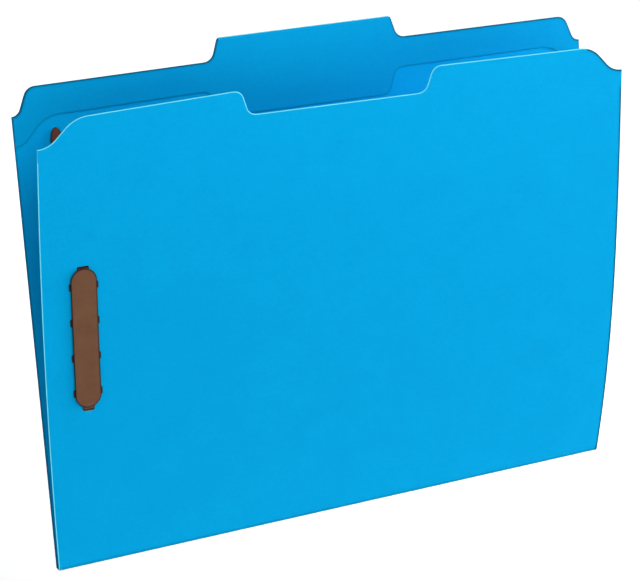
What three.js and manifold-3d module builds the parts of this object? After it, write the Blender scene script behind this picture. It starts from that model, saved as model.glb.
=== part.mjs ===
// A letter-size card folder standing on its fold, slightly open, with a two-prong fastener on each
// leaf. Millimetres, +Z up. X runs along the fold, the front leaf leans towards -Y, and the origin is
// under the middle of the fold. Places on a leaf are given as (u, s, h): u along the fold from the
// left edge, s up the card from the fold line, h from the middle of the card towards the other leaf.
import * as THREE from "three";
import Module from "manifold-3d";
import { mergeVertices } from "three/addons/utils/BufferGeometryUtils.js";

// Card
const sheetWidth = 298.45;
const card = 0.4;
const foldWidth = 4;
const hingeClearance = 0.3;
const creaseGap = 0.05; // between a side of the fold strip and its crease line

// Heights above the fold line. A leaf's top edge rises a little from its cut corners to its tab or notch.
const tabTop = 241.3;
const backShoulder = 230.6;
const backTop = 230.1;
const backCorner = 217.4;
const frontShoulder = 224.8;
const frontTop = 223;
const frontCorner = 209.9;
const frontNotch = 212.4;
const plyShoulder = 216.3; // the lower edge of the inner ply repeats the front leaf's contour
const plyTop = 215.8;
const plyCorner = 203.2;
const plyNotch = 203.7;
const notchSlant = 0.8; // how much lower the notch is cut at its right end

// Cut contours
const tabOffset = -1.8; // middle of the tab, from the middle of the sheet
const tabHalfWidth = 47; // half the tab's width, at half its height
const tabAngle = THREE.MathUtils.degToRad(72);
const tabFootRadius = 5.4;
const tabCornerRadius = 1.8;
const notchOffset = -3.7; // the front leaf's notch is cut a little to the left of the tab
const notchAngle = THREE.MathUtils.degToRad(71.4);
const notchRadius = 5.2;
const frontCornerReach = 11.2; // from the side edge to the middle of the front leaf's cut corner
const frontCornerAngle = THREE.MathUtils.degToRad(47);
const frontFootRadius = 11.6;
const frontTopRadius = 15;
const plyCornerReach = 9.7;
const backCornerReach = 5.6;
const backCornerAngle = THREE.MathUtils.degToRad(68);
const backTopRadius = 5.8;
const backFootRadius = 5;

// Lean of the front leaf towards -Y in radians, at its left and right edges, as
// start + slope * (s / leanSpan) + curve * (s / leanSpan) ** 2
const leanSpan = 200;
const leftLean = { start: 0.0356, slope: 0.2046, curve: 0 };
const rightLean = { start: 0.3149, slope: -0.4168, curve: 0.1946 };
const leafRows = 14;
const leanSteps = 32;

// Fastener
const fastenerInset = 19.8; // from the left edge to the prongs' centre line
const fastenerHeight = 114.3; // from the fold line to the fastener's middle
const prongSpacing = 70;
const prongLength = 61;
const prongWidth = 5.6;
const prongTip = 6; // length of the rounded tip
const prongColumns = 8;
const prongRows = 16;
const metal = 0.4;
const seat = 0.3; // clearance between pieces that lie on each other
const play = 0.1; // added to it where a prong has to slide
const overcut = 0.1; // how far a slot is cut past the wall that it opens
const slitClearance = 0.5;
const slitOuterClearance = 1.2; // on the side where the strip bulges as it turns inwards

// Cover patch and base strip on the outside of the card
const patchLength = 69.5;
const patchLift = 0.6; // its middle above the fastener's middle
const patchWidth = 12.5;
const patchSkin = 0.35;
const wingCount = 4;
const wingPitch = 17.7;
const wingLength = 4;
const wingWidth = 14;
const patchRows = 8;

// Compressor bar and its two slides on the inside
const barLength = 88;
const channelWidth = 8;
const flangeWidth = 10;
const barWall = 0.4;
const barRows = 8;
const slideLength = 9;
const slideWall = 0.4;
const slideRest = 25; // from the fastener's middle to each slide's middle, unlocked
const lipReach = 1;
const prongDrop = 0.6; // how much lower a prong lies on the card, past the end of the bar
const prongDropRun = 7;

// Colours
const cyanCard = { color: 0x0aa3dd, roughness: 0.62, metalness: 0 };
const brownFibre = { color: 0x6e4d35, roughness: 0.7, metalness: 0 };
const brownSteel = { color: 0x4a3226, roughness: 0.4, metalness: 0.5 };

const wasm = await Module();
wasm.setup();

// Plane outlines

// Points of a path whose inner corners are rounded. Each corner is [x, y, radius], and a radius
// that its straight sides have no room for is made smaller.
function roundedPath(corners, stepsPerArc = 4) {
  const points = [];
  const last = corners.length - 1;
  const room = (to, i) => to.length() * (i === 0 || i === last ? 1 : 0.5);
  corners.forEach(([x, y, wanted], i) => {
    const here = new THREE.Vector2(x, y);
    if (!wanted || i === 0 || i === last) {
      points.push(here);
      return;
    }
    const before = new THREE.Vector2(...corners[i - 1].slice(0, 2)).sub(here);
    const after = new THREE.Vector2(...corners[i + 1].slice(0, 2)).sub(here);
    const half = before.angleTo(after) / 2;
    const reach = Math.min(wanted / Math.tan(half), room(before, i - 1), room(after, i + 1));
    const radius = reach * Math.tan(half);
    before.normalize();
    after.normalize();
    const start = here.clone().addScaledVector(before, reach);
    const end = here.clone().addScaledVector(after, reach);
    const centre = before.clone().add(after).normalize().multiplyScalar(radius / Math.sin(half)).add(here);
    const from = start.clone().sub(centre).angle();
    let sweep = end.clone().sub(centre).angle() - from;
    sweep -= Math.round(sweep / (2 * Math.PI)) * 2 * Math.PI;
    for (let k = 0; k <= stepsPerArc; k++) {
      const a = from + (sweep * k) / stepsPerArc;
      points.push(new THREE.Vector2(centre.x + radius * Math.cos(a), centre.y + radius * Math.sin(a)));
    }
  });
  return points;
}

// Height of a left-to-right path at u.
function heightAt(path, u) {
  const i = path.findIndex((p, k) => k > 0 && p.x >= u - 1e-9);
  if (i < 0) return path.at(-1).y;
  const a = path[i - 1];
  const b = path[i];
  return b.x - a.x < 1e-9 ? b.y : a.y + ((b.y - a.y) * (u - a.x)) / (b.x - a.x);
}

// The two knees of a step in an edge, whose middle is at x. It rises to the right if way is 1.
function stepKnees(x, low, high, { angle, footRadius, topRadius }, way) {
  const half = (high - low) / 2 / Math.tan(angle);
  const knees = [
    [x - way * half, low, footRadius],
    [x + way * half, high, topRadius],
  ];
  return way > 0 ? knees : knees.reverse();
}

// Top edge of a leaf: a cut corner at each side, and between them a step up or down at each end of its
// middle. The middle and the shoulders beside it fall by slant from left to right.
function topEdge({ corner, top, shoulder, middle, slant = 0, cutCorner, step }) {
  const way = middle > shoulder ? 1 : -1;
  const [low, high] = [shoulder, middle].sort((a, b) => a - b);
  const centre = sheetWidth / 2 + step.offset;
  return roundedPath([
    [0, corner],
    ...stepKnees(cutCorner.reach, corner, top, cutCorner, 1),
    ...stepKnees(centre - tabHalfWidth, low + slant / 2, high + slant / 2, step, way),
    ...stepKnees(centre + tabHalfWidth, low - slant / 2, high - slant / 2, step, -way),
    ...stepKnees(sheetWidth - cutCorner.reach, corner, top, cutCorner, -1),
    [sheetWidth, corner],
  ]);
}

const frontCut = {
  reach: frontCornerReach,
  angle: frontCornerAngle,
  footRadius: frontFootRadius,
  topRadius: frontTopRadius,
};
const backCut = {
  reach: backCornerReach,
  angle: backCornerAngle,
  footRadius: backFootRadius,
  topRadius: backTopRadius,
};
const notch = { offset: notchOffset, angle: notchAngle, footRadius: notchRadius, topRadius: notchRadius };
const tab = { offset: tabOffset, angle: tabAngle, footRadius: tabFootRadius, topRadius: tabCornerRadius };
const frontEdge = topEdge({
  corner: frontCorner,
  top: frontTop,
  shoulder: frontShoulder,
  middle: frontNotch,
  slant: notchSlant,
  cutCorner: frontCut,
  step: notch,
});
const backEdge = topEdge({
  corner: backCorner,
  top: backTop,
  shoulder: backShoulder,
  middle: tabTop,
  cutCorner: backCut,
  step: tab,
});
const plyEdge = topEdge({
  corner: plyCorner,
  top: plyTop,
  shoulder: plyShoulder,
  middle: plyNotch,
  slant: notchSlant,
  cutCorner: { ...frontCut, reach: plyCornerReach },
  step: notch,
});

// Leaf surfaces

function lean({ start, slope, curve }, s) {
  const t = s / leanSpan;
  return start + slope * t + curve * t * t;
}

// Place of the front leaf's edge at s, summed from short straight stretches.
function edgePlace(shape, s) {
  const step = s / leanSteps;
  let y = 0;
  let z = 0;
  for (let i = 0; i < leanSteps; i++) {
    const a = lean(shape, (i + 0.5) * step);
    y -= Math.sin(a) * step;
    z += Math.cos(a) * step;
  }
  return { y, z };
}

function onFront(u, s, h) {
  const k = u / sheetWidth;
  const left = edgePlace(leftLean, s);
  const right = edgePlace(rightLean, s);
  const a = THREE.MathUtils.lerp(lean(leftLean, s), lean(rightLean, s), k);
  const y = THREE.MathUtils.lerp(left.y, right.y, k) - foldWidth / 2;
  const z = THREE.MathUtils.lerp(left.z, right.z, k);
  return new THREE.Vector3(u - sheetWidth / 2, y + h * Math.cos(a), z + h * Math.sin(a));
}

function onBack(u, s, h) {
  return new THREE.Vector3(u - sheetWidth / 2, foldWidth / 2 - h, s);
}

// Solids

// A plate on a leaf. columns is [{ u, low, high }, ...]; bottom and top give h at s.
function plate(place, columns, rows, bottom, top) {
  const positions = [];
  const index = [];
  const across = rows + 1;
  const layer = columns.length * across;
  for (const face of [bottom, top])
    for (const { u, low, high } of columns)
      for (let j = 0; j <= rows; j++) {
        const s = low + ((high - low) * j) / rows;
        positions.push(...place(u, s, face(s)).toArray());
      }
  const quad = (a, b, c, d) => index.push(a, b, c, a, c, d);
  for (let i = 0; i + 1 < columns.length; i++)
    for (let j = 0; j < rows; j++) {
      const a = i * across + j;
      quad(a, a + 1, a + across + 1, a + across);
      quad(layer + a, layer + a + across, layer + a + across + 1, layer + a + 1);
    }
  for (let i = 0; i + 1 < columns.length; i++) {
    const a = i * across;
    quad(a, a + across, layer + a + across, layer + a);
    quad(a + rows, layer + a + rows, layer + a + across + rows, a + across + rows);
  }
  for (let j = 0; j < rows; j++) {
    const b = (columns.length - 1) * across + j;
    quad(j, layer + j, layer + j + 1, j + 1);
    quad(b, b + 1, layer + b + 1, layer + b);
  }
  const geometry = new THREE.BufferGeometry();
  geometry.setAttribute("position", new THREE.Float32BufferAttribute(positions, 3));
  geometry.setIndex(signedVolume(positions, index) < 0 ? index.reverse() : index);
  return geometry;
}

function signedVolume(positions, index) {
  const [a, b, c] = [new THREE.Vector3(), new THREE.Vector3(), new THREE.Vector3()];
  let volume = 0;
  for (let i = 0; i < index.length; i += 3) {
    a.fromArray(positions, 3 * index[i]);
    b.fromArray(positions, 3 * index[i + 1]);
    c.fromArray(positions, 3 * index[i + 2]);
    volume += a.dot(b.cross(c)) / 6;
  }
  return volume;
}

// A plate with square sides: width in u and length in s about (u, s), from height h0 to h1.
function block(place, u, s, width, length, h0, h1, rows = 1) {
  const columns = [u - width / 2, u + width / 2].map((x) => ({
    u: x,
    low: s - length / 2,
    high: s + length / 2,
  }));
  return plate(place, columns, rows, () => h0, () => h1);
}

function toSolid(geometry) {
  const bare = geometry.clone();
  bare.deleteAttribute("normal");
  bare.deleteAttribute("uv");
  const merged = mergeVertices(bare, 1e-5);
  return new wasm.Manifold(
    new wasm.Mesh({
      numProp: 3,
      vertProperties: merged.attributes.position.array,
      triVerts: new Uint32Array(merged.index.array),
    }),
  );
}

function toGeometry(solid) {
  const mesh = solid.getMesh();
  const geometry = new THREE.BufferGeometry();
  geometry.setAttribute("position", new THREE.BufferAttribute(mesh.vertProperties, 3));
  geometry.setIndex(new THREE.BufferAttribute(mesh.triVerts, 1));
  return geometry;
}

const join = (pieces) => pieces.map(toSolid).reduce((a, b) => a.add(b));
const cut = (solid, pieces) => pieces.map(toSolid).reduce((a, b) => a.subtract(b), solid);

// Column list between a lower and an upper path.
function columnsBetween(lower, upper) {
  const us = [...new Set([...lower, ...upper].map((p) => Number(p.x.toFixed(4))))].sort((a, b) => a - b);
  return us.map((u) => ({ u, low: heightAt(lower, u), high: heightAt(upper, u) }));
}

// Capsule outline along s, as columns: straight sides and two round ends.
function capsuleColumns(u, s, width, length, count = 12) {
  const radius = width / 2;
  return Array.from({ length: count + 1 }, (_, i) => {
    const angle = (Math.PI * i) / count;
    const rise = length / 2 - radius * (1 - Math.sin(angle));
    return { u: u - radius * Math.cos(angle), low: s - rise, high: s + rise };
  });
}

// Heights over the card
const inner = card / 2;
const barFloor = inner + seat;
const prongBottom = barFloor + barWall + seat + play;
const prongTop = prongBottom + metal;
const bridgeBottom = prongTop + seat + play;
const flangeBottom = prongBottom;
const flangeTop = flangeBottom + barWall;
const lipTop = flangeBottom - seat;
const lipBottom = lipTop - seat;
const baseTop = -inner - seat;
const baseBottom = baseTop - metal;
const patchBottom = baseBottom - seat - patchSkin;
const halfSpacing = prongSpacing / 2;
const leafStart = card / 2 + hingeClearance;
const bothEnds = [1, -1];

const slits = (place) =>
  bothEnds.map((end) =>
    block(
      place,
      fastenerInset,
      fastenerHeight + end * (halfSpacing + (slitOuterClearance - slitClearance) / 2),
      prongWidth + 2 * slitClearance,
      metal + slitClearance + slitOuterClearance,
      -card,
      card,
    ),
  );

function leaf(place, edge, rows) {
  const foot = [new THREE.Vector2(0, leafStart), new THREE.Vector2(sheetWidth, leafStart)];
  const columns = columnsBetween(foot, edge);
  return cut(toSolid(plate(place, columns, rows, () => -inner, () => inner)), slits(place));
}

function innerPly() {
  return toSolid(plate(onBack, columnsBetween(plyEdge, backEdge), 1, () => inner, () => inner + card));
}

function foldStrip() {
  const strip = new THREE.BoxGeometry(sheetWidth, foldWidth - 2 * creaseGap, card);
  strip.translate(0, 0, card / 2);
  return toSolid(strip);
}

const wingPlaces = Array.from({ length: wingCount }, (_, i) => (i - (wingCount - 1) / 2) * wingPitch);

// Steel strip on the outside of the card, with cross wings, whose ends turn in through the slits.
function baseStrip(place, grow = 0) {
  const length = prongSpacing + metal;
  const s = fastenerHeight;
  const sheet = [baseBottom - grow, baseTop + grow];
  return join([
    block(place, fastenerInset, s, prongWidth + 2 * grow, length + 2 * grow, ...sheet, patchRows),
    ...wingPlaces.map((w) =>
      block(place, fastenerInset, s + w, wingWidth + 2 * grow, wingLength + 2 * grow, ...sheet),
    ),
    ...bothEnds.map((end) =>
      block(place, fastenerInset, s + end * halfSpacing, prongWidth, metal, baseBottom, prongBottom - seat),
    ),
  ]);
}

// Fibre patch glued over the base strip, whose wings stick out a little at its sides.
function coverPatch(place) {
  const outline = capsuleColumns(fastenerInset, fastenerHeight + patchLift, patchWidth, patchLength);
  const whole = toSolid(plate(place, outline, patchRows, () => patchBottom, () => baseTop));
  return whole.subtract(baseStrip(place, seat));
}

// A prong laid flat from its root, over the end of the bar and down onto the card.
function prong(place, end) {
  const root = metal / 2;
  const columns = Array.from({ length: prongColumns + 1 }, (_, i) => {
    const angle = (Math.PI * i) / prongColumns;
    const x = (-prongWidth / 2) * Math.cos(angle);
    const tip = prongLength - prongTip + prongTip * Math.sin(angle);
    const places = [halfSpacing - root, halfSpacing + tip].map((d) => fastenerHeight + end * d);
    return { u: fastenerInset + x, low: Math.min(...places), high: Math.max(...places) };
  });
  const drop = (s) => {
    const past = (Math.abs(s - fastenerHeight) - barLength / 2) / prongDropRun;
    return prongDrop * THREE.MathUtils.smoothstep(past, 0, 1);
  };
  return toSolid(plate(place, columns, prongRows, (s) => prongBottom - drop(s), (s) => prongTop - drop(s)));
}

// Channel with outward flanges; the prongs come up through its two slots.
function compressor(place) {
  const s = fastenerHeight;
  const wall = (u, width, h0, h1) => block(place, fastenerInset + u, s, width, barLength, h0, h1, barRows);
  const rim = channelWidth / 2 - barWall / 2;
  const flange = (flangeWidth - channelWidth) / 2 + barWall;
  const flangeMiddle = flangeWidth / 2 - flange / 2;
  const body = join([
    wall(0, channelWidth, barFloor, barFloor + barWall),
    ...bothEnds.map((side) => wall(side * rim, barWall, barFloor, flangeTop)),
    ...bothEnds.map((side) => wall(side * flangeMiddle, flange, flangeBottom, flangeTop)),
  ]);
  const slots = bothEnds.map((end) =>
    block(
      place,
      fastenerInset,
      s + end * halfSpacing,
      prongWidth + 2 * slitClearance,
      metal + 2 * slitClearance,
      barFloor - card,
      barFloor + barWall + overcut,
    ),
  );
  return cut(body, slots);
}

// A slide that rides over the bar, its lips hooked under the flanges.
function slide(place, end) {
  const s = fastenerHeight + end * slideRest;
  const outside = flangeWidth + 2 * (seat + slideWall);
  const wall = (u, width, h0, h1) => block(place, fastenerInset + u, s, width, slideLength, h0, h1);
  const side = outside / 2 - slideWall / 2;
  const lip = outside / 2 - (lipReach + seat) / 2;
  return join([
    wall(0, outside, bridgeBottom, bridgeBottom + slideWall),
    ...bothEnds.map((way) => wall(way * side, slideWall, lipBottom, bridgeBottom + slideWall)),
    ...bothEnds.map((way) => wall(way * lip, lipReach + seat, lipBottom, lipTop)),
  ]);
}

// Assembly

const folder = new THREE.Group();

function add(name, solid, look) {
  const mesh = new THREE.Mesh(toGeometry(solid), new THREE.MeshStandardMaterial(look));
  mesh.name = name;
  folder.add(mesh);
}

function addFastener(side, place) {
  add(`${side}_fastener_base`, baseStrip(place), brownSteel);
  add(`${side}_cover_patch`, coverPatch(place), brownFibre);
  add(`${side}_upper_prong`, prong(place, 1), brownSteel);
  add(`${side}_lower_prong`, prong(place, -1), brownSteel);
  add(`${side}_compressor_bar`, compressor(place), brownSteel);
  add(`${side}_upper_slide`, slide(place, 1), brownSteel);
  add(`${side}_lower_slide`, slide(place, -1), brownSteel);
}

add("front_leaf", leaf(onFront, frontEdge, leafRows), cyanCard);
add("back_leaf", leaf(onBack, backEdge, 1), cyanCard);
add("tab_ply", innerPly(), cyanCard);
add("fold_strip", foldStrip(), cyanCard);
addFastener("front", onFront);
addFastener("back", onBack);

export default folder;
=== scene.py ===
"""Looks of a letter-size fastener folder: coloured card leaves on a scored fold, a glued tab ply, and on
each leaf a two-prong steel fastener with its fibre cover patch, compressor bar and two slides.

Flat pieces are drawn in sheet coordinates (u, h, s): u from the middle of the sheet along the fold, h
over the middle of the card towards the other leaf, s up the card from the fold line. Geometry Nodes then
lay them on a leaf. Sizes are millimetres until a mesh is made.
"""

import math

import bpy
import numpy as np
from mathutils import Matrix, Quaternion, Vector
from mathutils.geometry import delaunay_2d_cdt


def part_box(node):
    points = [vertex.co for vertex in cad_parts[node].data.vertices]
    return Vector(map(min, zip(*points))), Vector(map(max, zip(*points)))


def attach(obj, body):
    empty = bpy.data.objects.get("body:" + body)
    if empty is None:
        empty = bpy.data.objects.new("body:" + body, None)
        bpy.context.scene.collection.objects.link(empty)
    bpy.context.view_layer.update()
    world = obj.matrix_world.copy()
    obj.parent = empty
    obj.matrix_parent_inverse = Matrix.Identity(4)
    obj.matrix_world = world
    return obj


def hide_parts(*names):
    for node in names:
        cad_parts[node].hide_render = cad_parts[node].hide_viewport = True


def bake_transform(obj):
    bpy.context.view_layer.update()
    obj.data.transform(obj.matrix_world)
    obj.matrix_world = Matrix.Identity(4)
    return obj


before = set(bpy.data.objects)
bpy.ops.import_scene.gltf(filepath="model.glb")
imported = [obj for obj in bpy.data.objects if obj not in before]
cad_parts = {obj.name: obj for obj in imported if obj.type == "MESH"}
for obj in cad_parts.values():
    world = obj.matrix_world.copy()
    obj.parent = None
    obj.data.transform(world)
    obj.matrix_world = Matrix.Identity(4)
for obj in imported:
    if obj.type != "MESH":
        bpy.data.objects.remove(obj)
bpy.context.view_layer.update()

MM = 0.001

# Sheet and its fold
strip_low, strip_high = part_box("fold_strip")
sheet_width = (strip_high.x - strip_low.x) / MM
card = (strip_high.z - strip_low.z) / MM
half_fold = 2.0
fold_run = 1.6
fold_seam = -0.16
strip_inset = 0.055
crease_radius = 0.5
crease_margin = 0.05
edge_bevel = 0.06

# Lean of the front leaf's two side edges, as a curve of the height up the card
lean_span = 200.0
left_lean = (0.0356, 0.2046, 0.0)
right_lean = (0.3149, -0.4168, 0.1946)
upright = (0.0, 0.0, 0.0)

# Cut contours. The notch and the shoulders beside it fall by slant from left to right.
front_heights = {"corner": 209.9, "top": 223.0, "shoulder": 224.8, "middle": 212.4, "slant": 0.8}
ply_heights = {"corner": 203.2, "top": 215.8, "shoulder": 216.3, "middle": 203.7, "slant": 0.8}
back_heights = {"corner": 217.4, "top": 230.1, "shoulder": 230.6, "middle": 241.3, "slant": 0.0}
front_cut = {"reach": 11.2, "angle": 47.0, "foot": 11.6, "crown": 15.0}
ply_cut = {**front_cut, "reach": 9.7}
back_cut = {"reach": 5.6, "angle": 68.0, "foot": 5.0, "crown": 5.8}
notch = {"offset": -3.7, "angle": 71.4, "foot": 5.2, "crown": 5.2}
tab = {"offset": -1.8, "angle": 72.0, "foot": 5.4, "crown": 1.8}
tab_half_width = 47.0
ply_inset = 0.3
ply_top_inset = 0.1
ply_gap = 0.02

# Painted light and shade along the cut edges and the crease, from 1, a painted highlight, to -1, painted
# shade
front_edge_highlight = 1.0
front_corner_shade = -1.0
shaded_corner_width = 20.0
tab_top_highlight = 0.85
tab_margin = 2.0
back_edge_shade = -0.65
ply_foot_shadow = -0.4
facing_up = 0.9
facing_down = -0.1
crease_shade = (-0.35, -0.3, 0.0)

# Fastener
fastener_margin = 19.8
fastener_u = fastener_margin - sheet_width / 2
fastener_s = 114.3
half_spacing = 35.0
metal = 0.4
metal_bevel = 0.07
bend_radius = 0.5
prong_half = 2.8
prong_length = 61.0
prong_knee = 1.5
prong_tip = 6.0
tip_bluntness = 0.02
prong_drop_run = 7.0
slot_half = 2.85
slot_inner = 0.5
slot_outer = 1.2
wing_count = 4
wing_pitch = 17.7
wing_half_length = 2.0
wing_half_width = 7.0
wing_corner = 0.9
wing_metal = 0.34
strip_gap = 0.05
patch_half_width = 6.25
patch_half_length = 34.75
patch_lift = 0.6
patch_board = 0.35
patch_bevel = 0.1
patch_gap = 0.03
bar_half_length = 44.0
bar_half_floor = 3.8
bar_half_width = 5.0
bar_bend = 0.3
bar_slot_half_length = 0.7
slide_rest = 25.0
slide_length = 9.0
slide_metal = 0.34
slide_half_width = 5.5
slide_half_opening = 4.4
slide_lip_bend = 0.3
slide_top_bend = 0.45
rib_count = 5
rib_pitch = 1.3
rib_half_width = 3.6
rib_half_depth = 0.28
rib_rise = 0.17
rib_sink = 0.02

# Heights over the middle of the card
face = card / 2
strip_height = -face - strip_gap - metal / 2
patch_height = strip_height - (metal + patch_board) / 2 - patch_gap
bar_floor = 0.7
bar_rim = 1.5
prong_height = 1.5
prong_root = 0.55
prong_drop = 0.6
slide_bridge = 2.3
slide_lip = 0.85
rib_seat = slide_bridge + slide_metal / 2 - rib_sink

# Fineness of the meshes: counts of points or steps, and lengths between points
crease_steps = 8
profile_steps = 246
rows_near_crease = (1.3, 2.6, 5.0)
first_plain_row = 11.0
plain_rows = 30
card_columns = 30
bottom_spacing = 10.0
top_spacing = 6.0
sheet_rim = 1.5
sheet_grid = 8.0
strip_rows = 7
ribbon_columns = 9
ribbon_spacing = 4.0
prong_first_row = 2.0
prong_rows = 30
tip_rows = 15
wing_rim = 0.3
wing_grid = 1.0
patch_rim = 0.8
patch_grid = 1.5
patch_spacing = 0.6
patch_end_points = 49
bar_rows = 25
bar_floor_column = 1.7
slide_rows = 9
rib_columns = 15
rib_rows = 7

# Distances within which a point counts as on a line, and two points as one
on_line = 1e-4
same_point = 1e-6

# Angles in degrees: a sharper turn is bevelled, and shaded as an edge
bevel_angle = 50
steel_edge_angle = 50
card_edge_angle = 18

# Camera and studio, in metres, degrees and pixels
image_width = 640
focal_pixels = 2176.0
camera_place = (-0.42754, -0.9351, 0.38074)
camera_target = (-0.00365, 0.0, 0.11246)
camera_roll = -3.74
nearest_view = 0.05
floor_height = -0.236
floor_half = 30.0
floor_near_glow = 0.05
floor_far_glow = 1.0
glow_behind = (-0.3, 1.9)
glow_around = (1.3, 3.2)
room_light = 0.05
lamp_target = (0.0, 0.0, 0.12)
soft_boxes = [
    ("side_box", (2.18, -0.19, 0.31), 1.2, 112.0),
    ("key_box", (0.62, -1.69, 1.38), 1.2, 17.2),
    ("fill_box", (-1.56, -0.9, 1.38), 1.2, 13.5),
]


def in_scene(name, data):
    """A new object in the scene for a mesh, curve, camera or light."""
    made = bpy.data.objects.new(name, data)
    bpy.context.scene.collection.objects.link(made)
    return made


def linear(red, green, blue):
    """A colour given in screen values from 0 to 255, as the shader's linear colour."""
    def channel(v):
        v /= 255
        return v / 12.92 if v <= 0.04045 else ((v + 0.055) / 1.055) ** 2.4
    return (channel(red), channel(green), channel(blue), 1.0)


# Node trees

class Value:
    """A node's output, on which Python arithmetic adds Math nodes."""

    def __init__(self, tree, socket):
        self.tree = tree
        self.socket = socket

    def of(self, output):
        return Value(self.tree, self.socket.node.outputs[output])

    def math(self, operation, *others):
        inputs = dict(enumerate((self, *others)))
        return self.tree.node("ShaderNodeMath", {"operation": operation}, inputs)

    def __add__(self, other):
        return self.math("ADD", other)

    def __sub__(self, other):
        return self.math("SUBTRACT", other)

    def __mul__(self, other):
        return self.math("MULTIPLY", other)

    def __truediv__(self, other):
        return self.math("DIVIDE", other)

    def __rsub__(self, other):
        return self.tree.node("ShaderNodeMath", {"operation": "SUBTRACT"}, {0: other, 1: self})

    __radd__ = __add__
    __rmul__ = __mul__

    def clipped(self, low, high):
        """0 below low, 1 above high and a straight ramp between them."""
        inputs = {"Value": self, "From Min": low, "From Max": high}
        return self.tree.node("ShaderNodeMapRange", {"clamp": True}, inputs)


class Tree:
    """A shader or Geometry Nodes tree under construction."""

    def __init__(self, tree):
        self.tree = tree

    def node(self, kind, settings=None, inputs=None, output=0):
        """Adds a node with its settings, then the values or links of its sockets."""
        made = self.tree.nodes.new(kind)
        for name, value in (settings or {}).items():
            setattr(made, name, value)
        for key, value in (inputs or {}).items():
            if isinstance(value, Value):
                self.tree.links.new(value.socket, made.inputs[key])
            else:
                made.inputs[key].default_value = value
        return Value(self, made.outputs[output]) if len(made.outputs) else made

    def mix(self, factor, first, second):
        inputs = {0: factor, 6: first, 7: second}
        return self.node("ShaderNodeMix", {"data_type": "RGBA"}, inputs, 2)

    def noise(self, place, scale, detail, roughness, stretch=(1, 1, 1)):
        """Noise from 0 to 1 at a place, finer where the stretch is over 1."""
        if stretch != (1, 1, 1):
            place = self.node("ShaderNodeMapping", {}, {"Vector": place, "Scale": stretch})
        inputs = {"Vector": place, "Scale": scale, "Detail": detail, "Roughness": roughness}
        return self.node("ShaderNodeTexNoise", {}, inputs)

    def tone(self):
        """The painted light and shade along a piece's edges, which its points carry: 1 a painted highlight,
        -1 painted shade, 0 plain.
        """
        return self.node("ShaderNodeAttribute", {"attribute_name": "edge_tone"}).of("Fac")

    def bump(self, strength, distance, height):
        """A bump of this many millimetres, for a shader's normal."""
        inputs = {"Strength": strength, "Distance": distance * MM, "Height": height}
        return self.node("ShaderNodeBump", {}, inputs)


# Materials

def finished(name, colour, roughness, normal, specular, metallic=0.0, coat=0.0):
    """Ends a material's tree in one Principled shader."""
    tree = colour.tree
    inputs = {
        "Base Color": colour,
        "Roughness": roughness,
        "Normal": normal,
        "Metallic": metallic,
        "Specular IOR Level": specular,
        "Coat Weight": coat,
    }
    shader = tree.node("ShaderNodeBsdfPrincipled", {}, inputs)
    tree.node("ShaderNodeOutputMaterial", {}, {"Surface": shader})
    return bpy.data.materials[name]


def start_material(name):
    material = bpy.data.materials.new(name)
    material.use_nodes = True
    material.node_tree.nodes.clear()
    tree = Tree(material.node_tree)
    return tree, tree.node("ShaderNodeTexCoord").of("Object")


def card_paper(name, deep, middle, pale):
    """Dyed card: cloudy pulp, short fibres along the sheet's grain, and painted highlights and shade along
    its cut edges and crease.
    """
    tree, place = start_material(name)
    cloud = tree.noise(place, scale=45.0, detail=4.0, roughness=0.6)
    pulp = tree.noise(place, scale=900.0, detail=3.0, roughness=0.6)
    grain = tree.noise(place, scale=420.0, detail=2.0, roughness=0.6, stretch=(0.35, 1.0, 2.6))
    fibres = tree.noise(place, scale=2600.0, detail=1.0, roughness=0.5, stretch=(0.25, 1.0, 1.6))
    fibres = fibres.clipped(0.62, 0.78)
    shade = (cloud - 0.5) * 0.25 + (pulp - 0.5) * 0.4 + (grain - 0.5) * 0.15 + 0.5
    colour = tree.mix(shade.clipped(0.2, 0.8), deep, pale)
    colour = tree.mix(fibres * 0.1, colour, middle)
    tone = tree.tone()
    # A painted highlight beside cut edges that face the light, and painted shade beside edges and the crease
    # turned from it
    colour = tree.mix(tone.clipped(0.7, 0.84), colour, pale_edge_and_highlight)
    colour = tree.mix((tone * -1.0).clipped(0.15, 0.7), colour, edge_painted_shade)
    bump = tree.bump(strength=0.35, distance=0.03, height=pulp * 0.5 + grain * 0.4 + fibres * 0.3)
    return finished(name, colour, 0.62 + 0.12 * pulp, bump, specular=0.02)


def card_edge(name):
    """The sheet's cut edge: paler broken fibres in thin layers, with painted shade where the edge is turned
    from the light.
    """
    tree, place = start_material(name)
    layers = tree.noise(place, scale=5200.0, detail=2.0, roughness=0.6)
    colour = tree.mix(layers.clipped(0.3, 0.7), pale_edge_and_highlight, linear(70, 205, 240))
    # Painted shade on cut edges turned from the light
    colour = tree.mix((tree.tone() * -1.0).clipped(0.2, 0.5), colour, linear(0, 84, 118))
    bump = tree.bump(strength=0.4, distance=0.05, height=layers)
    return finished(name, colour, 0.8 + 0.1 * layers, bump, specular=0.02)


def fibre_board(name):
    """Brown pressed board: speckled pulp with a few paler fibres, and painted shade along its cut edge."""
    tree, place = start_material(name)
    cloud = tree.noise(place, scale=160.0, detail=3.0, roughness=0.6)
    pulp = tree.noise(place, scale=1500.0, detail=3.0, roughness=0.65)
    fibres = tree.noise(place, scale=2400.0, detail=1.0, roughness=0.5, stretch=(1.4, 1.0, 0.3))
    fibres = fibres.clipped(0.6, 0.8)
    shade = (cloud - 0.5) * 0.7 + (pulp - 0.5) * 0.6 + 0.5
    colour = tree.mix(shade.clipped(0.1, 0.9), linear(98, 64, 44), linear(118, 83, 60))
    colour = tree.mix(fibres * 0.25, colour, linear(140, 104, 78))
    # Painted shade all round the board's cut edge
    colour = tree.mix((tree.tone() * -1.0).clipped(0.1, 0.65), colour, linear(30, 23, 21))
    bump = tree.bump(strength=0.5, distance=0.04, height=pulp + fibres * 0.5)
    return finished(name, colour, 0.5 + 0.25 * pulp, bump, specular=0.12)


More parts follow.
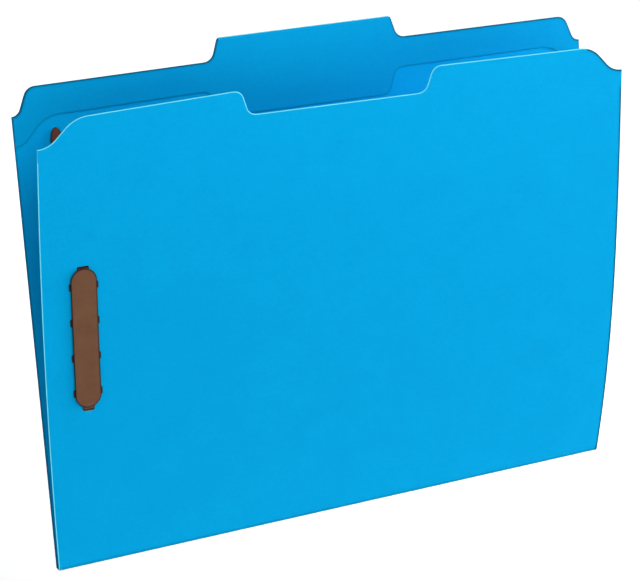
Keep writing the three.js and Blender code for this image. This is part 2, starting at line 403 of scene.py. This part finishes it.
def coated_steel(name, deep, pale):
    """Spring steel under a thin baked coating, a little worn and streaked along the strip, with painted
    shade where its points carry it.
    """
    tree, place = start_material(name)
    streak = tree.noise(place, scale=700.0, detail=3.0, roughness=0.55, stretch=(2.0, 1.0, 0.3))
    speck = tree.noise(place, scale=2200.0, detail=2.0, roughness=0.5)
    colour = tree.mix((streak * 0.4 + speck * 0.6).clipped(0.2, 0.8), deep, pale)
    # Painted shade towards the strip's sides, where its points carry it
    colour = tree.mix((tree.tone() * -1.0).clipped(0.1, 0.9), colour, linear(34, 22, 18))
    bump = tree.bump(strength=0.1, distance=0.01, height=streak + speck)
    return finished(name, colour, 0.34 + 0.12 * streak, bump, specular=0.3, metallic=0.2, coat=0.1)


# A pale cut-edge colour that also serves as the painted highlight beside lit edges, and the painted shade
# beside edges turned from the light
pale_edge_and_highlight = linear(120, 232, 250)
edge_painted_shade = linear(0, 88, 118)
paper = card_paper("coloured_card", linear(0, 151, 212), linear(0, 150, 214), linear(2, 171, 229))
# The back leaf is the same card painted brighter and bluer, as painted light shining through it from behind
backlight_painted_paper = card_paper("coloured_card_back", linear(0, 159, 226), linear(0, 157, 227), linear(2, 182, 242))
cut_edge = card_edge("card_cut_edge")
board = fibre_board("brown_fibre_board")
steel = coated_steel("brown_coated_steel", linear(98, 54, 40), linear(126, 74, 52))
# A darker copy of the same coated steel, as painted shade on the wings under the patch
shade_painted_steel = coated_steel("dark_coated_steel", linear(20, 14, 12), linear(38, 26, 22))


# Geometry Nodes

def geometry_tree(name, inputs):
    group = bpy.data.node_groups.new(name, "GeometryNodeTree")
    group.interface.new_socket(name="Geometry", in_out="OUTPUT", socket_type="NodeSocketGeometry")
    for label, kind in inputs.items():
        group.interface.new_socket(name=label, in_out="INPUT", socket_type="NodeSocket" + kind)
    tree = Tree(group)
    return tree, tree.node("NodeGroupInput")


def end_tree(tree, geometry, material):
    """Real geometry with its material, on all faces but those of the second slot."""
    index = tree.node("GeometryNodeInputMaterialIndex")
    real = tree.node("GeometryNodeRealizeInstances", {}, {"Geometry": geometry})
    inputs = {"Geometry": real, "Selection": index.math("LESS_THAN", 0.5), "Material": material}
    dressed = tree.node("GeometryNodeSetMaterial", {}, inputs)
    tree.node("NodeGroupOutput", {}, {"Geometry": dressed})
    return tree.tree


def lay_on_leaf_tree():
    """Lays a flat piece on the ruled sheet between a leaf's left and right edge curves."""
    kinds = {
        "Geometry": "Geometry",
        "Left Edge": "Object",
        "Right Edge": "Object",
        "Sheet Width": "Float",
        "Fold Run": "Float",
        "Inward": "Float",
        "Material": "Material",
    }
    tree, given = geometry_tree("lay_on_leaf", kinds)
    flat = tree.node("ShaderNodeSeparateXYZ", {}, {0: tree.node("GeometryNodeInputPosition")})
    height = flat.of("Y") * given.of("Inward")
    length = flat.of("Z") + given.of("Fold Run")
    across = flat.of("X") / given.of("Sheet Width") + 0.5

    def edge(name):
        curve = tree.node("GeometryNodeObjectInfo", {}, {"Object": given.of(name)}).of("Geometry")
        inputs = {"Curves": curve, "Length": length}
        return tree.node("GeometryNodeSampleCurve", {"mode": "LENGTH"}, inputs)

    def between(output):
        settings = {"data_type": "VECTOR", "clamp_factor": False}
        inputs = {0: across, 4: left.of(output), 5: right.of(output)}
        return tree.node("ShaderNodeMix", settings, inputs, 1)

    left = edge("Left Edge")
    right = edge("Right Edge")
    along = tree.node("ShaderNodeVectorMath", {"operation": "NORMALIZE"}, {0: between("Tangent")})
    along = tree.node("ShaderNodeSeparateXYZ", {}, {0: along})
    middle = tree.node("ShaderNodeSeparateXYZ", {}, {0: between("Position")})
    inputs = {
        "X": flat.of("X"),
        "Y": middle.of("Y") + along.of("Z") * height,
        "Z": middle.of("Z") - along.of("Y") * height,
    }
    place = tree.node("ShaderNodeCombineXYZ", {}, inputs)
    moved = tree.node("GeometryNodeSetPosition", {}, {"Geometry": given.of("Geometry"), "Position": place})
    return end_tree(tree, moved, given.of("Material"))


def copies_in_row_tree():
    """Adds evenly spaced copies of a small part, in a row up the card, to the part that carries them."""
    kinds = {
        "Geometry": "Geometry",
        "Copy": "Object",
        "Count": "Int",
        "Pitch": "Float",
        "Middle": "Vector",
        "Material": "Material",
    }
    tree, given = geometry_tree("copies_in_row", kinds)
    reach = given.of("Pitch") * (given.of("Count") - 1.0) * -0.5
    start = tree.node("ShaderNodeCombineXYZ", {}, {"Z": reach})
    start = tree.node("ShaderNodeVectorMath", {"operation": "ADD"}, {0: start, 1: given.of("Middle")})
    step = tree.node("ShaderNodeCombineXYZ", {}, {"Z": given.of("Pitch")})
    inputs = {"Count": given.of("Count"), "Start Location": start, "Offset": step}
    row = tree.node("GeometryNodeMeshLine", {}, inputs)
    copy = tree.node("GeometryNodeObjectInfo", {}, {"Object": given.of("Copy")}).of("Geometry")
    row = tree.node("GeometryNodeInstanceOnPoints", {}, {"Points": row, "Instance": copy})
    joined = tree.node("GeometryNodeJoinGeometry", {}, {"Geometry": row})
    tree.tree.links.new(given.of("Geometry").socket, joined.socket.node.inputs["Geometry"])
    return end_tree(tree, joined, given.of("Material"))


def evaluated(piece):
    """The piece's mesh with its modifiers applied, as a plain object in its place."""
    name = piece.name
    graph = bpy.context.evaluated_depsgraph_get()
    mesh = bpy.data.meshes.new_from_object(piece.evaluated_get(graph), depsgraph=graph)
    bpy.data.objects.remove(piece)
    return in_scene(name, mesh)


def through_nodes(piece, group, values):
    modifier = piece.modifiers.new(group.name, "NODES")
    modifier.node_group = group
    for item in group.interface.items_tree:
        if item.in_out == "INPUT" and item.name in values:
            modifier[item.identifier] = values[item.name]
    return evaluated(piece)


# Leaf surfaces

def lean(shape, s):
    """A side edge's lean from upright, in radians, at s up the card."""
    t = np.asarray(s) / lean_span
    return shape[0] + shape[1] * t + shape[2] * t * t


def edge_profile(shape):
    """Points from the fold strip, round the crease and up one side edge, as (out, up)."""
    steps = np.arange(profile_steps + 1.0)
    angle = lean(shape, (steps[1:] + steps[:-1]) / 2)
    out = half_fold + np.concatenate([[0.0], np.cumsum(np.sin(angle))])
    up = np.concatenate([[0.0], np.cumsum(np.cos(angle))])
    foot = float(lean(shape, 0.0))
    corner = face / math.cos(foot)
    turn = math.pi / 2 - foot
    reach = crease_radius * math.tan(turn / 2)
    bend = half_fold + corner * math.sin(foot) - reach
    flat = fold_run - crease_radius * turn + corner + reach
    points = [(bend - flat, face)]
    for a in np.linspace(0.0, turn, crease_steps + 1):
        points.append((bend + crease_radius * math.sin(a), face + crease_radius * (1 - math.cos(a))))
    return points + [(o, z) for s, o, z in zip(steps, out, up) if s > corner + reach]


class Leaf:
    """One leaf of the folder: its body, its side away from the middle, and its two side edges as curves."""

    def __init__(self, body, way, shapes):
        self.body = body
        self.way = way
        self.edges = [self.edge_curve(f"{body}_edge_{i}", shape) for i, shape in enumerate(shapes)]

    def edge_curve(self, name, shape):
        data = bpy.data.curves.new(name, "CURVE")
        data.dimensions = "3D"
        points = edge_profile(shape)
        line = data.splines.new("POLY")
        line.points.add(len(points) - 1)
        for point, (out, up) in zip(line.points, points):
            point.co = (0.0, self.way * out * MM, up * MM, 1.0)
        return in_scene(name, data)

    def lay(self, piece, material):
        """The flat piece laid on this leaf. A piece mirrored by the back leaf is turned right side out."""
        values = {
            "Left Edge": self.edges[0],
            "Right Edge": self.edges[1],
            "Sheet Width": sheet_width * MM,
            "Fold Run": fold_run * MM,
            "Inward": -1.0 * self.way,
            "Material": material,
        }
        laid = through_nodes(piece, lay_on_leaf, values)
        if self.way > 0:
            laid.data.flip_normals()
        smooth(laid)
        return laid

    def forget_curves(self):
        for curve in self.edges:
            bpy.data.objects.remove(curve)


# Plane outlines

def rounded(corners, steps=8):
    """A path whose inner corners, each (x, y, radius), are rounded as far as its sides have room."""
    points = []
    for i, (x, y, radius) in enumerate(corners):
        here = np.array([x, y])
        if not radius:
            points.append(here)
            continue
        sides, room = [], []
        for neighbour in (corners[i - 1], corners[i + 1]):
            side = np.array(neighbour[:2]) - here
            length = float(np.linalg.norm(side))
            sides.append(side / length)
            room.append(length / 2 if neighbour[2] else length)
        before, after = sides
        half = math.acos(float(before @ after)) / 2
        radius = min(radius, min(room) * math.tan(half))
        middle = (before + after) / np.linalg.norm(before + after)
        centre = here + middle * radius / math.sin(half)
        start = here + before * radius / math.tan(half) - centre
        end = here + after * radius / math.tan(half) - centre
        sweep = math.atan2(start[0] * end[1] - start[1] * end[0], float(start @ end))
        for a in np.linspace(0.0, sweep, steps + 1):
            cos, sin = math.cos(a), math.sin(a)
            points.append(centre + [start[0] * cos - start[1] * sin, start[0] * sin + start[1] * cos])
    apart = [np.linalg.norm(b - a) > same_point for a, b in zip(points[:-1], points[1:])]
    return np.array([points[0], *[p for p, keep in zip(points[1:], apart) if keep]])


def knees(x, low, high, shape, way):
    """The two knees of a step in an edge, rising to the right if way is 1."""
    half = (high - low) / 2 / math.tan(math.radians(shape["angle"]))
    pair = [(x - way * half, low, shape["foot"]), (x + way * half, high, shape["crown"])]
    return pair if way > 0 else pair[::-1]


def top_edge(heights, cut, step):
    """A leaf's cut top edge, from left to right."""
    corner, top, slant = heights["corner"], heights["top"], heights["slant"] / 2
    low, high = sorted((heights["shoulder"], heights["middle"]))
    way = 1 if high == heights["middle"] else -1
    side = sheet_width / 2
    return rounded([
        (-side, corner, 0),
        *knees(cut["reach"] - side, corner, top, cut, 1),
        *knees(step["offset"] - tab_half_width, low + slant, high + slant, step, way),
        *knees(step["offset"] + tab_half_width, low - slant, high - slant, step, -way),
        *knees(side - cut["reach"], corner, top, cut, -1),
        (side, corner, 0),
    ])


def divided(path, spacing):
    """The path with its long straight stretches divided."""
    points = [path[0]]
    for a, b in zip(path[:-1], path[1:]):
        parts = max(1, math.ceil(float(np.linalg.norm(b - a)) / spacing))
        points += [a + (b - a) * k / parts for k in range(1, parts + 1)]
    return np.array(points)


def normals(loop):
    """Outward normals of a counter-clockwise loop's edges."""
    along = np.roll(loop, -1, 0) - loop
    outward = np.stack([along[:, 1], -along[:, 0]], 1)
    return outward / np.linalg.norm(outward, axis=1, keepdims=True)


def inset(loop, distance):
    """The loop moved inwards by the same distance all round."""
    outward = normals(loop)
    mitre = outward + np.roll(outward, 1, 0)
    mitre /= (mitre * mitre).sum(1, keepdims=True) / 2
    return loop - mitre * distance


def inside(points, loop):
    """Whether each point is in the loop: a ray to its right then crosses an odd number of edges."""
    start, end = loop, np.roll(loop, -1, 0)
    x, y = points[:, :1], points[:, 1:]
    crosses = (start[:, 1] > y) != (end[:, 1] > y)
    rise = end[:, 1] - start[:, 1]
    slope = (end[:, 0] - start[:, 0]) / np.where(rise == 0, 1.0, rise)
    return (crosses & (x < start[:, 0] + (y - start[:, 1]) * slope)).sum(1) % 2 == 1


def nearest_edge(points, loop):
    """Distance to a loop, and the index of its nearest edge."""
    along = np.roll(loop, -1, 0) - loop
    away = points[:, None] - loop
    share = np.clip((away * along).sum(2) / (along * along).sum(1), 0, 1)
    gap = np.linalg.norm(away - share[..., None] * along, axis=2)
    return gap.min(1), gap.argmin(1)


def filled(loop, rim, grid, holes=(), lines=()):
    """Triangles that fill a loop: a rim along it, lines across it, and a grid of points inside."""
    points, edges = [], []

    def add(path, closed):
        first = len(points)
        points.extend(path)
        count = len(path)
        edges.extend((first + i, first + (i + 1) % count) for i in range(count if closed else count - 1))

    add(loop, True)
    add(inset(loop, rim), True)
    for hole in holes:
        add(hole, True)
    for line in lines:
        add(line, False)
    low, high = loop.min(0), loop.max(0)
    counts = np.maximum(2, np.round((high - low) / grid)).astype(int)
    us, ss = (np.linspace(*span) for span in zip(low, high, counts + 1))
    spots = np.array([(u, s) for u in us for s in ss])
    clear = inside(spots, loop) & (nearest_edge(spots, loop)[0] > 2 * rim)
    for line in lines:
        clear &= np.abs(spots[:, 1] - line[0][1]) > rim
    points.extend(spots[clear])
    made = delaunay_2d_cdt([Vector(p) for p in points], edges, [], 1, same_point)
    flat = np.array([tuple(v) for v in made[0]])
    faces = made[2]
    for hole in holes:
        middles = np.array([flat[list(f)].mean(0) for f in faces])
        keep = ~inside(middles, hole)
        faces = [f for f, k in zip(faces, keep) if k]
    used = sorted({i for f in faces for i in f})
    place = {old: new for new, old in enumerate(used)}
    return flat[used], [[place[i] for i in f] for f in faces]


def painted_edge_shading(points, loop, tone):
    """The painted light and shade of a piece's points: on its outline by a rule on place and normal, and 0
    off it.
    """
    gap, edge = nearest_edge(points, loop)
    return np.where(gap < on_line, tone(*points.T, normals(loop)[edge, 1]), 0.0)


def rectangle(u, half_width, low, high):
    left, right = u - half_width, u + half_width
    return np.array([(left, low), (right, low), (right, high), (left, high)])


# Meshes

def smooth(piece):
    """Soft shading, but for the thin rounded edges of card and board, which stay apart from the faces."""
    limit = steel_edge_angle if piece.data.materials[0] in (steel, shade_painted_steel) else card_edge_angle
    piece.data.shade_smooth()
    piece.data.set_sharp_from_angle(angle=math.radians(limit))


def new_piece(name, vertices, faces, materials, shading_values=None):
    mesh = bpy.data.meshes.new(name)
    mesh.from_pydata((np.asarray(vertices) * MM).tolist(), [], faces)
    for material in materials:
        mesh.materials.append(material)
    # Each point carries the painted highlight and shade for its piece's edges
    tone = mesh.attributes.new("edge_tone", "FLOAT", "POINT")
    tone.data.foreach_set("value", np.zeros(len(vertices)) if shading_values is None else shading_values)
    return in_scene(name, mesh)


def plane_piece(name, points, height, faces, materials, shading_values=None):
    """A flat sheet with no thickness, from points (u, s) that are all at one height over the card."""
    return new_piece(name, np.insert(points, 1, height, axis=1), faces, materials, shading_values)


def thickened(piece, thickness, bevel):
    """The sheet as a solid, half on each side of it, with rounded edges and its last material on the rim."""
    solid = piece.modifiers.new("thickness", "SOLIDIFY")
    solid.thickness = thickness * MM
    solid.offset = 0.0
    solid.use_even_offset = True
    solid.material_offset_rim = len(piece.data.materials) - 1
    edge = piece.modifiers.new("rounded_edges", "BEVEL")
    edge.width = bevel * MM
    edge.segments = 2
    edge.limit_method = "ANGLE"
    edge.angle_limit = math.radians(bevel_angle)
    return evaluated(piece)


def grid_piece(name, rows, materials, skip=(), shading_values=None):
    """A sheet from equal rows of points, without the cells named by (row, column) in skip."""
    rows = np.asarray(rows)
    across = rows.shape[1]
    faces = []
    for i in range(rows.shape[0] - 1):
        for j in range(across - 1):
            if (i, j) not in skip:
                a = i * across + j
                faces.append((a, a + 1, a + across + 1, a + across))
    return new_piece(name, rows.reshape(-1, 3), faces, materials, shading_values)


# Card

def front_edge_shading(u, s, up):
    """A painted highlight along the front leaf's cut edge, which faces the light, but painted shade on its
    right side and right cut corner.
    """
    return np.where(u > sheet_width / 2 - shaded_corner_width, front_corner_shade, front_edge_highlight)


def back_edge_shading(u, s, up):
    """Painted shade along the back leaf's cut edge, but a painted highlight along the top of its tab."""
    on_tab = s > back_heights["shoulder"] + tab_margin
    return np.where(on_tab & (up > facing_up), tab_top_highlight, back_edge_shade)


def ply_edge_shading(u, s, up):
    """A soft painted shadow line along the ply's lower edge, and the rest of its edge painted like the back
    leaf's.
    """
    return np.where(up < facing_down, ply_foot_shadow, back_edge_shading(u, s, up))


def card_sheet(name, leaf, edge, tone, material):
    """A whole leaf, from its seam in the fold strip to its cut top edge, with the fastener's two slits."""
    side = sheet_width / 2
    arc_end = face + crease_radius + crease_margin
    bends = [*np.linspace(fold_seam, arc_end, crease_steps + 1), *rows_near_crease]
    heights = [*bends, *np.linspace(first_plain_row, edge[0][1], plain_rows)]
    left = np.array([(-side, s) for s in heights])
    bottom = divided(np.array([(-side, fold_seam), (side, fold_seam)]), bottom_spacing)
    top = divided(edge, top_spacing)
    loop = np.concatenate([bottom[:-1], left[:-1] * (-1, 1), top[::-1], left[1:-1][::-1]])
    lines = [np.array([(u, s) for u in bottom[:, 0]]) for s in bends[1:]]
    holes = []
    for way in (1, -1):
        ends = sorted(fastener_s + way * (half_spacing + reach) for reach in (-slot_inner, slot_outer))
        holes.append(rectangle(fastener_u, slot_half, *ends))
    points, faces = filled(loop, sheet_rim, sheet_grid, holes, lines)
    shading_values = painted_edge_shading(points, loop, tone)
    shading_values[points[:, 1] < fold_seam + on_line] = 0.0
    # Painted shade along the crease's outer curve, fading up the card
    shade = np.interp(points[:, 1], (arc_end, *rows_near_crease[:2]), crease_shade)
    shading_values = np.where(shading_values == 0, shade, shading_values)
    sheet = plane_piece(name, points, 0.0, faces, [material, cut_edge], shading_values)
    return leaf.lay(thickened(sheet, card, edge_bevel), material)


def ply_sheet(name):
    """The glued inner ply, cut like the front leaf's top edge below and like the back leaf's above."""
    trim = np.array([1 - 2 * ply_inset / sheet_width, 1.0])
    lower = divided(ply_edge * trim, top_spacing)
    upper = divided(back_edge * trim - (0, ply_top_inset), top_spacing)
    loop = np.concatenate([lower, upper[::-1]])
    points, faces = filled(loop, sheet_rim, sheet_grid)
    shading_values = painted_edge_shading(points, loop, ply_edge_shading)
    sheet = plane_piece(name, points, card, faces, [paper, cut_edge], shading_values)
    return back.lay(thickened(sheet, card - ply_gap, edge_bevel), paper)


def fold_strip_sheet(name):
    """The flat bottom of the fold, between the two creases."""
    half = half_fold - crease_radius - strip_inset
    us = np.linspace(-sheet_width / 2, sheet_width / 2, card_columns + 1)
    rows = [[(u, y, face) for u in us] for y in np.linspace(-half, half, strip_rows)]
    sheet = thickened(grid_piece(name, rows, [paper, cut_edge]), card, edge_bevel)
    smooth(sheet)
    return sheet


# Fastener parts, flat

def smoothstep(x):
    x = np.clip(x, 0.0, 1.0)
    return x * x * (3 - 2 * x)


def ribbon(name, path, half_widths):
    """A steel strip along a path of (s, h), as wide at each point as told and with painted shade towards its
    sides.
    """
    xs = -np.cos(np.linspace(0, np.pi, ribbon_columns))
    rows = [[(fastener_u + x * w, h, s) for x in xs] for (s, h), w in zip(path, half_widths)]
    # Painted shade towards the strip's sides
    shading_values = np.tile(-np.clip(np.abs(xs) * 3 - 2, 0, 1), len(rows))
    return thickened(grid_piece(name, rows, [steel], shading_values=shading_values), metal, metal_bevel)


def section_piece(name, section, rows, thickness, skip=()):
    """A folded steel section of (x, h) points, drawn along the rows' places up the card."""
    points = [[(fastener_u + x, h, s) for x, h in section] for s in rows]
    return thickened(grid_piece(name, points, [steel], skip), thickness, metal_bevel)


def with_copies(piece, copy, count, pitch, middle):
    """The steel piece with a row of copies of a small part, about a middle up the card."""
    values = {
        "Copy": copy,
        "Count": count,
        "Pitch": pitch * MM,
        "Middle": (0.0, 0.0, middle * MM),
        "Material": steel,
    }
    joined = through_nodes(piece, copies_in_row, values)
    bpy.data.objects.remove(copy)
    return joined


def wing_plate():
    """One cross wing of the steel strip, with rounded corners, at the foot of the card, in a darker copy of
    the steel as painted shade.
    """
    side, end = wing_half_width, wing_half_length
    loop = rounded([(0, -end, 0), (side, -end, wing_corner), (side, end, wing_corner), (0, end, 0)])
    loop = np.concatenate([loop, (loop * (-1, 1))[::-1][1:-1]])
    points, faces = filled(loop, wing_rim, wing_grid)
    plate = plane_piece("wing", points + (fastener_u, 0), strip_height, faces, [shade_painted_steel])
    return thickened(plate, wing_metal, metal_bevel)


def steel_strip(name, leaf):
    """The strip behind the card, its ends turned in through the slits, with its row of cross wings."""
    turned = [
        (-half_spacing, prong_root, 0),
        (-half_spacing, strip_height, bend_radius),
        (half_spacing, strip_height, bend_radius),
        (half_spacing, prong_root, 0),
    ]
    path = divided(rounded(turned), ribbon_spacing) + (fastener_s, 0)
    strip = ribbon(name, path, [prong_half] * len(path))
    strip = with_copies(strip, wing_plate(), wing_count, wing_pitch, fastener_s)
    return leaf.lay(strip, steel)


def patch_loop():
    """Outline of the patch about its middle: straight sides and round ends."""
    straight = patch_half_length - patch_half_width
    turn = np.linspace(0, np.pi, patch_end_points)
    end = patch_half_width * np.stack([np.cos(turn), np.sin(turn)], 1) + (0, straight)
    return divided(np.concatenate([end, -end, end[:1]]), patch_spacing)[:-1]


def cover_patch(name, leaf):
    """The stiff fibre board glued over the strip and its wings, clear of the card between them."""
    loop = patch_loop()
    points, faces = filled(loop, patch_rim, patch_grid)
    # Painted shade all round the board's outline
    shading_values = painted_edge_shading(points, loop, lambda u, s, up: -1.0)
    points += (fastener_u, fastener_s + patch_lift)
    patch = plane_piece(name, points, patch_height, faces, [board], shading_values)
    return leaf.lay(thickened(patch, patch_board, patch_bevel), board)


def prong(name, leaf, way):
    """A prong that rises through its slit, turns outwards over the bar's end and drops to the card."""
    straight = prong_length - prong_tip
    turned = rounded([(0, prong_root, 0), (0, prong_height, bend_radius), (prong_knee, prong_height, 0)])
    tip = straight + prong_tip * np.sin(np.linspace(0, np.pi / 2, tip_rows))
    run = np.concatenate([np.linspace(prong_first_row, straight, prong_rows), tip[1:]])
    drop = prong_drop * smoothstep((run + half_spacing - bar_half_length) / prong_drop_run)
    path = np.concatenate([turned, np.stack([run, prong_height - drop], 1)])
    beyond = np.clip((path[:, 0] - straight) / prong_tip, 0, 1)
    widths = prong_half * np.sqrt(np.maximum(1 - beyond**2, tip_bluntness**2))
    path = np.stack([fastener_s + way * (half_spacing + path[:, 0]), path[:, 1]], 1)
    if way < 0:
        path, widths = path[::-1], widths[::-1]
    return leaf.lay(ribbon(name, path, widths), steel)


def compressor_bar(name, leaf):
    """A channel with flanges turned out, and two slots in its floor for the prongs."""
    half = [
        (0.0, bar_floor, 0),
        (bar_half_floor, bar_floor, bar_bend),
        (bar_half_floor, bar_rim, bar_bend),
        (bar_half_width, bar_rim, 0),
    ]
    right = rounded(half, steps=4)
    right = np.concatenate([right[:1], [(bar_floor_column, bar_floor), (slot_half, bar_floor)], right[1:]])
    section = np.concatenate([(right * (-1, 1))[::-1], right[1:]])
    near, far = half_spacing - bar_slot_half_length, half_spacing + bar_slot_half_length
    rows = np.linspace(-bar_half_length, bar_half_length, bar_rows)
    rows = np.unique(np.round([*rows, -far, -near, near, far], 6))
    along = np.abs(rows[1:] + rows[:-1]) / 2
    across = np.abs(section[1:, 0] + section[:-1, 0]) / 2
    open_rows = np.flatnonzero((near < along) & (along < far))
    open_columns = np.flatnonzero(across < slot_half)
    slots = {(i, j) for i in open_rows for j in open_columns}
    bar = section_piece(name, section, rows + fastener_s, metal, slots)
    return leaf.lay(bar, steel)


def grip_rib():
    """One low rounded rib across a slide, at the foot of the card."""
    xs = np.linspace(-rib_half_width, rib_half_width, rib_columns)
    ends = np.sqrt(np.clip(1 - (xs / rib_half_width) ** 4, 0, 1))
    rows = []
    for turn in np.linspace(0, np.pi, rib_rows):
        heights = rib_seat + rib_rise * np.sin(turn) * ends
        depth = -rib_half_depth * math.cos(turn)
        rows.append([(fastener_u + x, h, depth) for x, h in zip(xs, heights)])
    return grid_piece("rib", rows, [steel])


def slide_clip(name, leaf, way):
    """A slide that grips the bar's flanges from below, with ribs for the thumb."""
    half = [
        (slide_half_opening, slide_lip, 0),
        (slide_half_width, slide_lip, slide_lip_bend),
        (slide_half_width, slide_bridge, slide_top_bend),
        (0.0, slide_bridge, 0),
    ]
    right = rounded(half, steps=5)
    section = np.concatenate([right, (right * (-1, 1))[::-1][1:]])
    middle = fastener_s + way * slide_rest
    rows = middle + np.linspace(-0.5, 0.5, slide_rows) * slide_length
    clip = section_piece(name, section[::-1], rows, slide_metal)
    clip = with_copies(clip, grip_rib(), rib_count, rib_pitch, middle)
    return leaf.lay(clip, steel)


# Assembly

def dress(piece, body, node):
    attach(piece, body)
    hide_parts(node)


def dress_bending(piece, node):
    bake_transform(piece)
    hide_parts(node)


def fastener(side, leaf):
    dress(cover_patch(f"{side}_patch_board", leaf), side, f"{side}_cover_patch")
    dress(steel_strip(f"{side}_steel_strip", leaf), side, f"{side}_fastener_base")
    dress(compressor_bar(f"{side}_channel_bar", leaf), side, f"{side}_compressor_bar")
    for end, way in (("upper", 1), ("lower", -1)):
        body = f"{side}_{end}_prong"
        tongue = prong(f"{side}_{end}_tongue", leaf, way)
        dress_bending(tongue, body)
        body = f"{side}_{end}_slide"
        dress(slide_clip(f"{side}_{end}_clip", leaf, way), body, body)


def aimed(name, data, place, target, roll=0.0):
    """A camera or lamp at a place, which faces a target."""
    made = in_scene(name, data)
    made.rotation_mode = "QUATERNION"
    made.location = place
    looking = (Vector(target) - Vector(place)).to_track_quat("-Z", "Y")
    made.rotation_quaternion = looking @ Quaternion((0, 0, 1), math.radians(roll))
    return made


def camera():
    """The camera at the photograph's place, angle and field of view."""
    data = bpy.data.cameras.new("camera")
    data.sensor_width = 36.0
    data.lens = data.sensor_width * focal_pixels / image_width
    data.clip_start = nearest_view
    data.clip_end = 2 * floor_half
    bpy.context.scene.camera = aimed("camera", data, camera_place, camera_target, camera_roll)


def soft_box(name, place, size, power):
    """A square light that faces the middle of the folder."""
    data = bpy.data.lights.new(name, "AREA")
    data.size = size
    data.energy = power
    aimed(name, data, place, lamp_target)


def studio():
    """A pale floor below the opened leaf's reach, brightest behind the folder, and soft boxes."""
    scene = bpy.context.scene
    scene.view_settings.view_transform = "Standard"
    world = bpy.data.worlds.new("white_room")
    scene.world = world
    world.use_nodes = True
    world.node_tree.nodes.clear()
    tree = Tree(world.node_tree)
    sky = tree.node("ShaderNodeBackground", {}, {"Color": (1, 1, 1, 1), "Strength": room_light})
    tree.node("ShaderNodeOutputWorld", {}, {"Surface": sky})
    mesh = bpy.data.meshes.new("floor")
    corners = [(x, y, floor_height) for x, y in rectangle(0.0, floor_half, -floor_half, floor_half)]
    mesh.from_pydata(corners, [], [(0, 1, 2, 3)])
    floor = in_scene("floor", mesh)
    tree, place = start_material("pale_floor")
    behind = tree.node("ShaderNodeSeparateXYZ", {}, {0: place}).of("Y").clipped(*glow_behind)
    distance = tree.node("ShaderNodeVectorMath", {"operation": "LENGTH"}, {0: place}, "Value")
    around = distance.clipped(*glow_around)
    near, far = ((glow, glow, glow, 1.0) for glow in (floor_near_glow, floor_far_glow))
    inputs = {
        "Base Color": (0.9, 0.9, 0.9, 1),
        "Roughness": 0.9,
        "Emission Color": tree.mix(behind.math("MAXIMUM", around), near, far),
        "Emission Strength": 1.0,
    }
    shader = tree.node("ShaderNodeBsdfPrincipled", {}, inputs)
    tree.node("ShaderNodeOutputMaterial", {}, {"Surface": shader})
    mesh.materials.append(bpy.data.materials["pale_floor"])
    for box in soft_boxes:
        soft_box(*box)


lay_on_leaf = lay_on_leaf_tree()
copies_in_row = copies_in_row_tree()
front_edge = top_edge(front_heights, front_cut, notch)
back_edge = top_edge(back_heights, back_cut, tab)
ply_edge = top_edge(ply_heights, ply_cut, notch)
front = Leaf("front", -1, (left_lean, right_lean))
back = Leaf("back", 1, (upright, upright))

for leaf, *looks in ((front, front_edge, front_edge_shading, paper), (back, back_edge, back_edge_shading, backlight_painted_paper)):
    sheet = card_sheet(f"{leaf.body}_card", leaf, *looks)
    dress_bending(sheet, f"{leaf.body}_leaf")
dress(ply_sheet("tab_ply_card"), "back", "tab_ply")
dress(fold_strip_sheet("fold_card"), "fold", "fold_strip")
fastener("front", front)
fastener("back", back)
front.forget_curves()
back.forget_curves()

camera()
studio()
